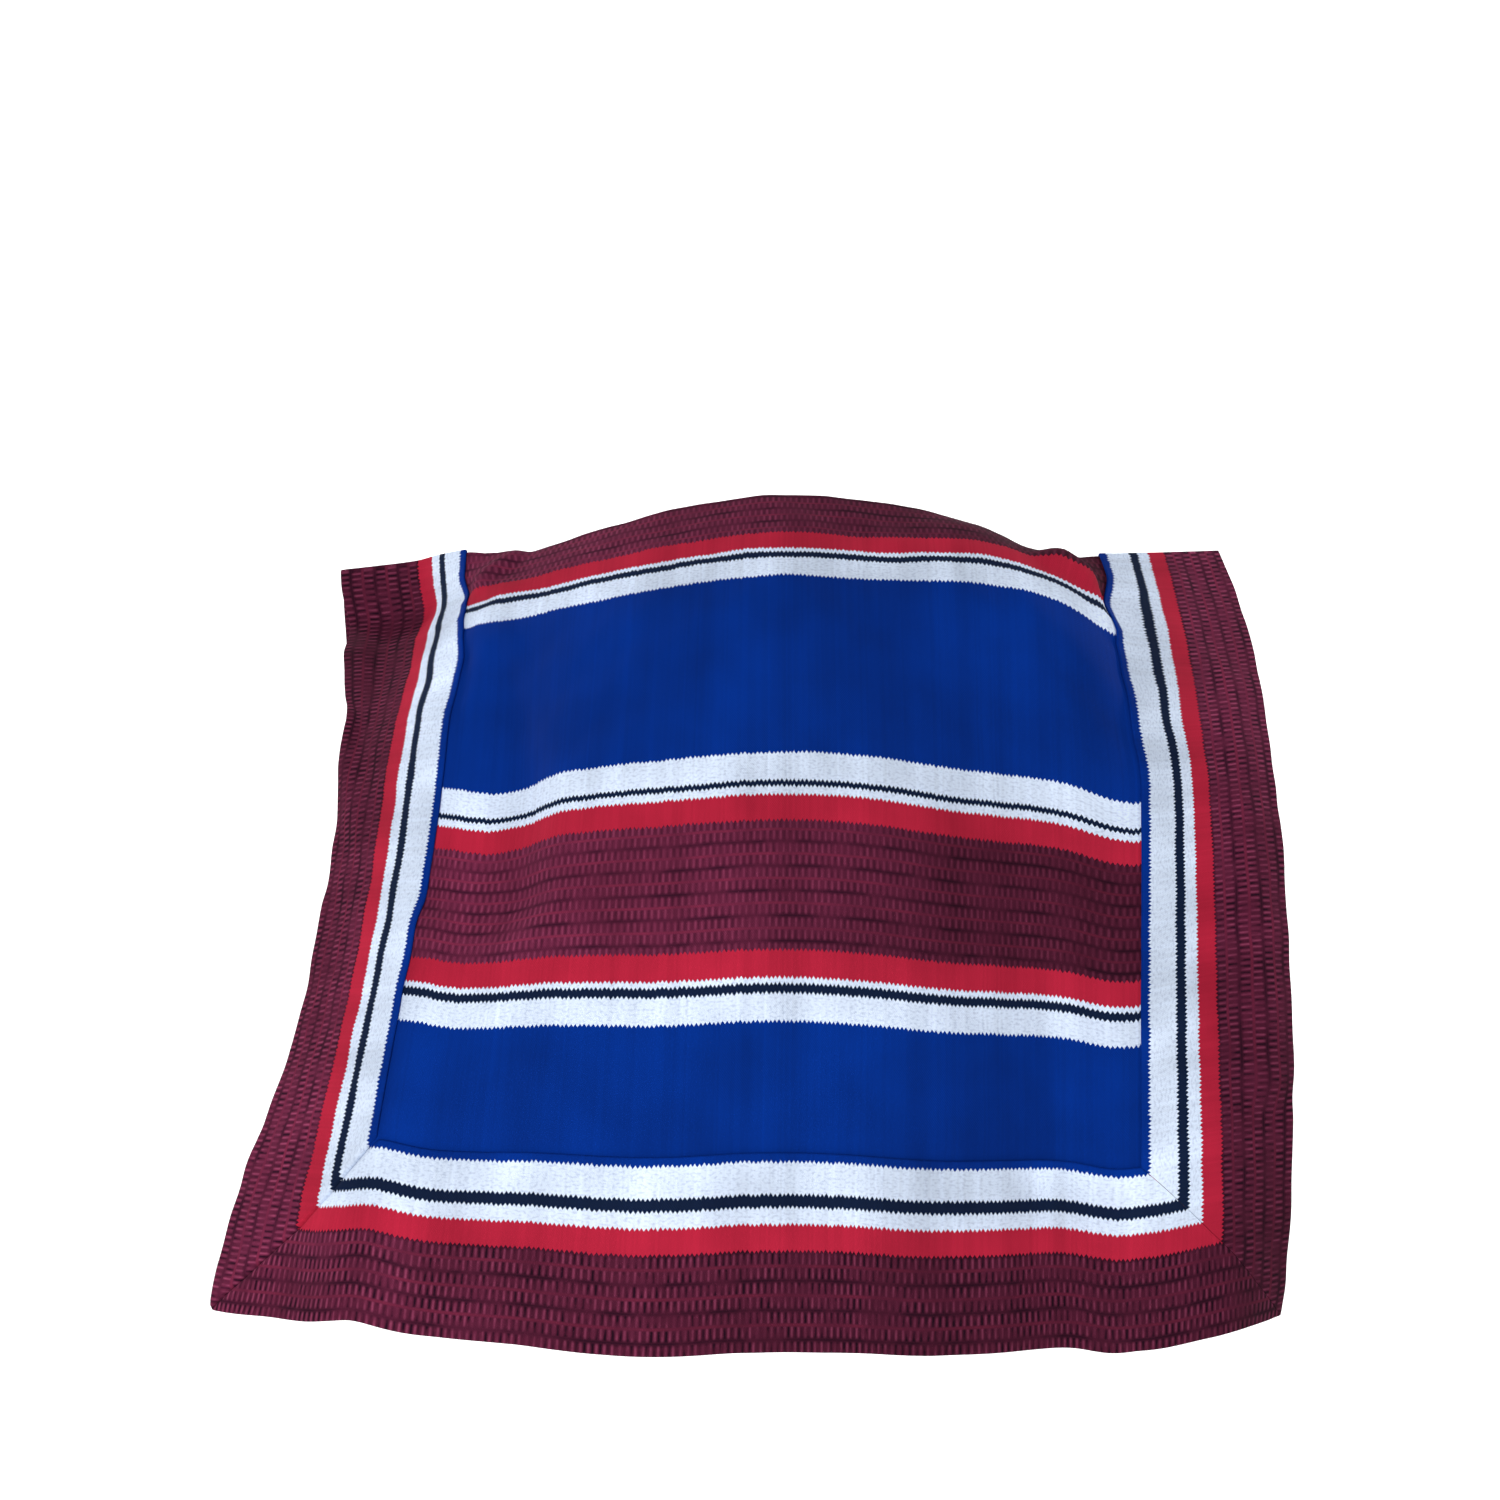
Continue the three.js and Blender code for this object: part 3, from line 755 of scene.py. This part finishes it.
def white_flecks(tree, ground, along, across):
    red_part = add(tree, "SeparateColor", {0: ground})
    is_white = add(tree, "Math", {0: red_part, 1: ONLY_WHITE_ABOVE}, operation="GREATER_THAN")
    noise = noise_at(tree, along, across, FLECK, 1.0)
    low, high = FLECK_FROM_TO
    fleck = add(tree, "MapRange", {0: noise, 1: low, 2: high, 3: 0.0, 4: FLECK_SHADE})
    rib = add(tree, "Math", {0: along, 1: TOOTH / 2}, operation="PINGPONG")
    rib = add(tree, "MapRange", {0: rib, 1: 0.0, 2: TOOTH / 2, 3: 0.0, 4: RIB_SHADE})
    shade = add(tree, "Math", {0: fleck, 1: rib}, operation="ADD")
    shade = add(tree, "Math", {0: shade, 1: is_white}, operation="MULTIPLY")
    return add(tree, "Mix", {0: shade, 6: ground, 7: linear("white_rib")}, **OF_COLOURS)


print(f"flecks of {FLECK[0]} x {FLECK[1]} mm darken the white by up to {FLECK_SHADE:.0%}")

# %% [markdown]
# The wine bands are rows about 8 mm high. In each row dark and light threads take turns every
# 2 mm, the next row is shifted by half a turn, and between the rows runs a dark line or a
# reddish one, by turns. The dashes are soft and come and go, because in worn cloth the
# threads don't lie evenly: broad patches are worn, and thick and thin places of the yarn,
# the slubs, break up the single dashes.

# %% Rows of dashes in the wine, and the lines between them
DASH = 4.2
DASH_FADES = (0.04, 0.20)
WEAR = (26.0, 13.0)
SLUB = (2.1, 9.0)
SLUB_SHARE = 0.7
WORN_TO_FRESH = (0.62, 1.08)
FAINTEST_DASH = 0.10
MORE_DARK = 0.18
LIGHTER, DARKER = 1.10, -1.20
# of the dark line and of the reddish one: its reach into the row, and its strength
LINE_REACH = (0.30, 0.16)
LINE_STRENGTH = (1.0, 0.5)
LINE_WEAR = {1: 0.35, 2: 0.62, 3: 0.30, 4: 0.85}


def wine_dashes(tree, row, row_origin, strength, along, across):
    from_edge = add(tree, "Math", {0: across, 1: row_origin}, operation="SUBTRACT")
    rows = add(tree, "Math", {0: from_edge, 1: row}, operation="DIVIDE")
    index = add(tree, "Math", {0: rows}, operation="FLOOR")
    stagger = add(tree, "Math", {0: index, 1: 0.5}, operation="MULTIPLY")
    turns = add(tree, "Math", {0: along, 1: 1 / DASH, 2: stagger}, operation="MULTIPLY_ADD")
    turns = add(tree, "Math", {0: turns, 1: 2 * math.pi}, operation="MULTIPLY")
    wave = add(tree, "Math", {0: turns}, operation="SINE")

    # a dash is full in the middle of its row and fades at both ends
    inside = add(tree, "Math", {0: rows, 1: 0.5}, operation="PINGPONG")
    body = add(
        tree, "MapRange", {0: inside, 1: DASH_FADES[0], 2: DASH_FADES[1]},
        interpolation_type="SMOOTHSTEP",
    )
    worn = noise_at(tree, along, across, WEAR, 3.0)
    slub = noise_at(tree, along, across, SLUB, 0.0)
    fresh = add(tree, "Math", {0: slub, 1: SLUB_SHARE, 2: worn}, operation="MULTIPLY_ADD")
    low, high = WORN_TO_FRESH
    fresh = add(tree, "MapRange", {0: fresh, 1: low, 2: high, 3: FAINTEST_DASH, 4: strength})
    body = add(tree, "Math", {0: body, 1: fresh}, operation="MULTIPLY")
    wave = add(tree, "Math", {0: wave, 1: MORE_DARK}, operation="SUBTRACT")
    wave = add(tree, "Math", {0: wave, 1: body}, operation="MULTIPLY")
    light = add(tree, "Math", {0: wave, 1: LIGHTER}, operation="MULTIPLY", use_clamp=True)
    dark = add(tree, "Math", {0: wave, 1: DARKER}, operation="MULTIPLY", use_clamp=True)
    pattern = add(
        tree, "Mix", {0: light, 6: linear("wine"), 7: linear("wine_light")}, **OF_COLOURS
    )
    pattern = add(tree, "Mix", {0: dark, 6: pattern, 7: linear("wine_dark")}, **OF_COLOURS)

    # the line between two rows: by_turns is 0 for a dark one and 1 for a reddish one
    line = add(tree, "Math", {0: rows, 1: 0.5}, operation="ADD")
    line = add(tree, "Math", {0: line}, operation="FLOOR")
    by_turns = add(tree, "Math", {0: line, 1: 1.0}, operation="PINGPONG")
    tone = add(
        tree, "Mix", {0: by_turns, 6: linear("wine_dark"), 7: linear("wine_red")}, **OF_COLOURS
    )
    reach, deepness = (
        add(tree, "Math", {0: by_turns, 1: red - dark, 2: dark}, operation="MULTIPLY_ADD")
        for dark, red in (LINE_REACH, LINE_STRENGTH)
    )
    deepest = add(tree, "MapRange", {0: worn, **LINE_WEAR})
    deepest = add(tree, "Math", {0: deepest, 1: deepness}, operation="MULTIPLY")
    gap = add(tree, "MapRange", {0: inside, 1: 0.0, 2: reach, 3: deepest, 4: 0.0})
    return add(tree, "Mix", {0: gap, 6: pattern, 7: tone}, **OF_COLOURS)


print(f"a dark and a light thread share {DASH} mm")

# %% [markdown]
# Then the whole cloth: the dashes go into the wine bands, and broad faint bands along the
# yarns stand for uneven dye. The wine bands also carry painted light and shade: along each
# piece they are painted lighter at one end and darker at the other, darkest on the right of
# the panel and at the top of the left strip. Cotton has no gloss, so the roughness is
# high and the specular level low, or a pale haze would wash out the deep blue. The relief is
# the yarns themselves. Real yarns are about 0.7 mm apart; they are drawn at 1.35 mm, because
# finer ones would vanish in the picture.

# %% Two woven cottons
PANEL_STRIPES = [
    (0, "wine"), (46, "red"), (62, "white"), (67.5, "navy"), (72, "white"), (89.5, "blue"),
    (221, "white"), (238.5, "navy"), (243, "white"), (248.5, "red"), (264.5, "wine"),
    (346, "red"), (362, "white"), (367.5, "navy"), (372, "white"), (389.5, "blue"),
]
BORDER_STRIPES = [
    (0, "wine"), (58.5, "red"), (74, "white"), (83.5, "navy"), (91, "white"), (110.5, "blue"),
]
# painted light and shade on the wine bands: their brightness from one place along the stripes to
# another
PANEL_PAINTED_SHADE = {1: -150, 2: 200, 3: 1.20, 4: 0.55}
BORDER_PAINTED_SHADE = {1: -450, 2: -60, 3: 1.10, 4: 0.62}
DYE_BANDS = (22.0, 190.0)
DYE_PATCHES = (95.0, 70.0)
DYE_RANGE = {1: 0.6, 2: 1.2, 3: 0.80, 4: 1.10}
YARNS_DIFFER = 0.08
WEFT = YARN * 1.3
RELIEF = 0.0004


def woven_cotton(name, stripes, length, row, row_origin, strength, fading):
    """length is the reach of the stripes in mm, row the height of a row of dashes, row_origin
    where the first one starts, and strength that of its freshest dashes."""
    material = bpy.data.materials.new(name)
    material.use_nodes = True
    tree = material.node_tree
    tree.nodes.clear()
    along, across, chance = place_on_cloth(tree)
    ground, is_wine = striped_ground(tree, stripes, length, along, across, chance)
    ground = white_flecks(tree, ground, along, across)
    pattern = wine_dashes(tree, row, row_origin, strength, along, across)
    colour = add(tree, "Mix", {0: is_wine, 6: ground, 7: pattern}, **OF_COLOURS)

    # painted shade: the wine bands are made lighter or darker along the stripes, to stand in for
    # light and shade on the hung cloth
    shade_paint = add(tree, "MapRange", {0: along, **fading})
    shade_paint = add(tree, "Mix", {0: is_wine, 2: 1.0, 3: shade_paint})
    bands = noise_at(tree, along, across, DYE_BANDS, 3.0)
    patches = noise_at(tree, along, across, DYE_PATCHES, 2.0)
    dye = add(tree, "Math", {0: bands, 1: 0.8, 2: patches}, operation="MULTIPLY_ADD")
    dye = add(tree, "MapRange", {0: dye, **DYE_RANGE})
    yarn = add(
        tree, "Math", {0: chance, 1: YARNS_DIFFER, 2: 1 - YARNS_DIFFER / 2},
        operation="MULTIPLY_ADD",
    )
    dye = add(tree, "Math", {0: dye, 1: yarn}, operation="MULTIPLY")
    dye = add(tree, "Math", {0: dye, 1: shade_paint}, operation="MULTIPLY")
    grey = add(tree, "CombineColor", {0: dye, 1: dye, 2: dye})
    colour = add(tree, "Mix", {0: 1.0, 6: colour, 7: grey}, blend_type="MULTIPLY", **OF_COLOURS)

    warp = add(tree, "Math", {0: along, 1: 2 * math.pi / YARN}, operation="MULTIPLY")
    weft = add(tree, "Math", {0: across, 1: 2 * math.pi / WEFT}, operation="MULTIPLY")
    warp, weft = (add(tree, "Math", {0: wave}, operation="SINE") for wave in (warp, weft))
    height = add(tree, "Math", {0: warp, 1: weft}, operation="MULTIPLY")
    height = add(tree, "Math", {0: height, 1: 0.5, 2: chance}, operation="MULTIPLY_ADD")
    bump = add(tree, "Bump", {"Strength": 0.20, "Distance": RELIEF, "Height": height})

    cotton = add(
        tree, "BsdfPrincipled",
        {"Base Color": colour, "Normal": bump, "Roughness": 0.95, "Specular IOR Level": 0.08},
    )
    add(tree, "OutputMaterial", {0: cotton})
    return material


panel_cotton = woven_cotton(
    "striped_cotton_weave_panel", PANEL_STRIPES, length=480.0, row=7.7, row_origin=264.5,
    strength=0.38, fading=PANEL_PAINTED_SHADE,
)
border_cotton = woven_cotton(
    "striped_cotton_weave_border", BORDER_STRIPES, length=120.0, row=8.5, row_origin=58.5,
    strength=0.72, fading=BORDER_PAINTED_SHADE,
)
for node, piece in pieces.items():
    piece.data.materials.clear()
    piece.data.materials.append(panel_cotton if node.endswith("panel") else border_cotton)
print("materials:", panel_cotton.name, "and", border_cotton.name)

# %% [markdown]
# ## What each piece is
#
# Every piece stands for its solid: it is attached to the root, and its solid is hidden.

for node, piece in pieces.items():
    side = node.split("_")[0]
    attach(piece, "root")
    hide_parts(node)
    if node.endswith("panel"):
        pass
    elif node.endswith("bottom"):
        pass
    else:
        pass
print(len(pieces), "sheets of cloth declared")

# %% [markdown]
# ## Studio
#
# A photographer hangs a roll of white paper behind the thing and lets it run on as the floor,
# so that no horizon shows. Here it is one plane, extruded upwards at the back, with its bend
# rounded.

# %% Floor and background in one sweep, in metres
FLOOR = -1.45
PAPER_BACK = 3.2
PAPER_TOP = 3.4
PAPER_HALF = 4.0
PAPER_FRONT = -3.0
PAPER_BEND = 1.4
NEAR = 0.01

bpy.ops.object.select_all(action="DESELECT")
bpy.ops.mesh.primitive_plane_add(size=2, location=(0, 0, 0))
sweep = bpy.context.object
sweep.name = "pale_sweep"
bpy.ops.object.mode_set(mode="EDIT")
bpy.ops.mesh.select_all(action="SELECT")
bpy.ops.transform.resize(value=(PAPER_HALF, (PAPER_BACK - PAPER_FRONT) / 2, 1))
bpy.ops.transform.translate(value=(0, (PAPER_BACK + PAPER_FRONT) / 2, FLOOR))
bpy.ops.mesh.select_all(action="DESELECT")
bpy.ops.object.mode_set(mode="OBJECT")
for edge in sweep.data.edges:
    edge.select = all(sweep.data.vertices[k].co.y > PAPER_BACK - NEAR for k in edge.vertices)
bpy.ops.object.mode_set(mode="EDIT")
bpy.ops.mesh.select_mode(type="EDGE")
bpy.ops.mesh.extrude_region_move(TRANSFORM_OT_translate={"value": (0, 0, PAPER_TOP - FLOOR)})
bpy.ops.mesh.select_all(action="DESELECT")
bpy.ops.object.mode_set(mode="OBJECT")
for edge in sweep.data.edges:
    ends = [sweep.data.vertices[k].co for k in edge.vertices]
    edge.select = all(p.y > PAPER_BACK - NEAR and p.z < FLOOR + NEAR for p in ends)
bpy.ops.object.mode_set(mode="EDIT")
bpy.ops.mesh.bevel(offset=PAPER_BEND, segments=24, affect="EDGES")
bpy.ops.object.mode_set(mode="OBJECT")
bpy.ops.object.shade_smooth()

paper = bpy.data.materials.new("matt_white_background_paper")
paper.use_nodes = True
shader = paper.node_tree.nodes["Principled BSDF"]
shader.inputs["Base Color"].default_value = (0.90, 0.90, 0.90, 1)
shader.inputs["Roughness"].default_value = 1.0
shader.inputs["Specular IOR Level"].default_value = 0.0
sweep.data.materials.append(paper)
print("sweep of", len(sweep.data.polygons), "faces, floor at", FLOOR)

# %% [markdown]
# ## Light
#
# Two lamps point at the paper alone. The poncho has a large soft key from the left in front,
# at its own height, a weaker fill from the right, and pale surroundings. The surroundings
# are set to light the cloth less than they show, so that its folds keep their shade. The
# colours are shown as they are, with no film-like view transform.

# %% Lights
AIM = Vector((0, 0, -0.28))
ROOM_LIGHT = 0.30
ROOM_SEEN = 0.92


def soft_light(name, place, size, watts, aim=AIM):
    bpy.ops.object.light_add(type="AREA", location=place)
    lamp = bpy.context.object
    lamp.name = name
    lamp.data.shape = "DISK"
    lamp.data.size = size
    lamp.data.energy = watts
    lamp.rotation_euler = (aim - Vector(place)).to_track_quat("-Z", "Y").to_euler()
    return lamp


soft_light("key_left", (-0.9, -2.55, -0.05), 1.3, 46)
soft_light("fill_right", (2.0, -2.0, 0.3), 2.0, 11)
for name, x in (("paper_left", -1.9), ("paper_right", 1.9)):
    soft_light(name, (x, 1.1, 1.4), 1.2, 85, Vector((x * 0.2, PAPER_BACK, -0.3)))

world = bpy.data.worlds.new("pale_room")
bpy.context.scene.world = world
world.use_nodes = True
tree = world.node_tree
seen = add(tree, "LightPath", {})
strength = add(tree, "MapRange", {0: seen, 3: ROOM_LIGHT, 4: ROOM_SEEN})
tree.links.new(strength, tree.nodes["Background"].inputs["Strength"])
tree.nodes["Background"].inputs["Color"].default_value = (1, 1, 1, 1)
bpy.context.scene.view_settings.view_transform = "Standard"
bpy.context.scene.view_settings.look = "None"
print("key, fill, two lamps for the paper, and pale surroundings")

# %% [markdown]
# ## Camera
#
# The photograph was taken from straight in front, level with the upper part of the front, at
# about 1.35 m. That is near enough for the hem, which hangs further forward, to look larger
# than the shoulders. At that distance the photograph's scale gives a focal length of 1890
# pixels, and the middle of the poncho stands a little to the right of the picture's.

# %% Camera
DISTANCE = 1.35
LEVEL = -0.14
IMAGE = 1500
FOCAL_PIXELS = 1890
MIDDLE_AT = 772
SENSOR = 36
bpy.ops.object.camera_add(location=(0, -DISTANCE, LEVEL), rotation=(math.radians(90), 0, 0))
camera = bpy.context.object
camera.name = "photo_camera"
camera.data.sensor_width = SENSOR
camera.data.lens = SENSOR * FOCAL_PIXELS / IMAGE
camera.data.shift_x = -(MIDDLE_AT - IMAGE / 2) / IMAGE
camera.data.dof.use_dof = False
bpy.context.scene.camera = camera
print(f"lens {camera.data.lens:.1f} mm at {DISTANCE} m")
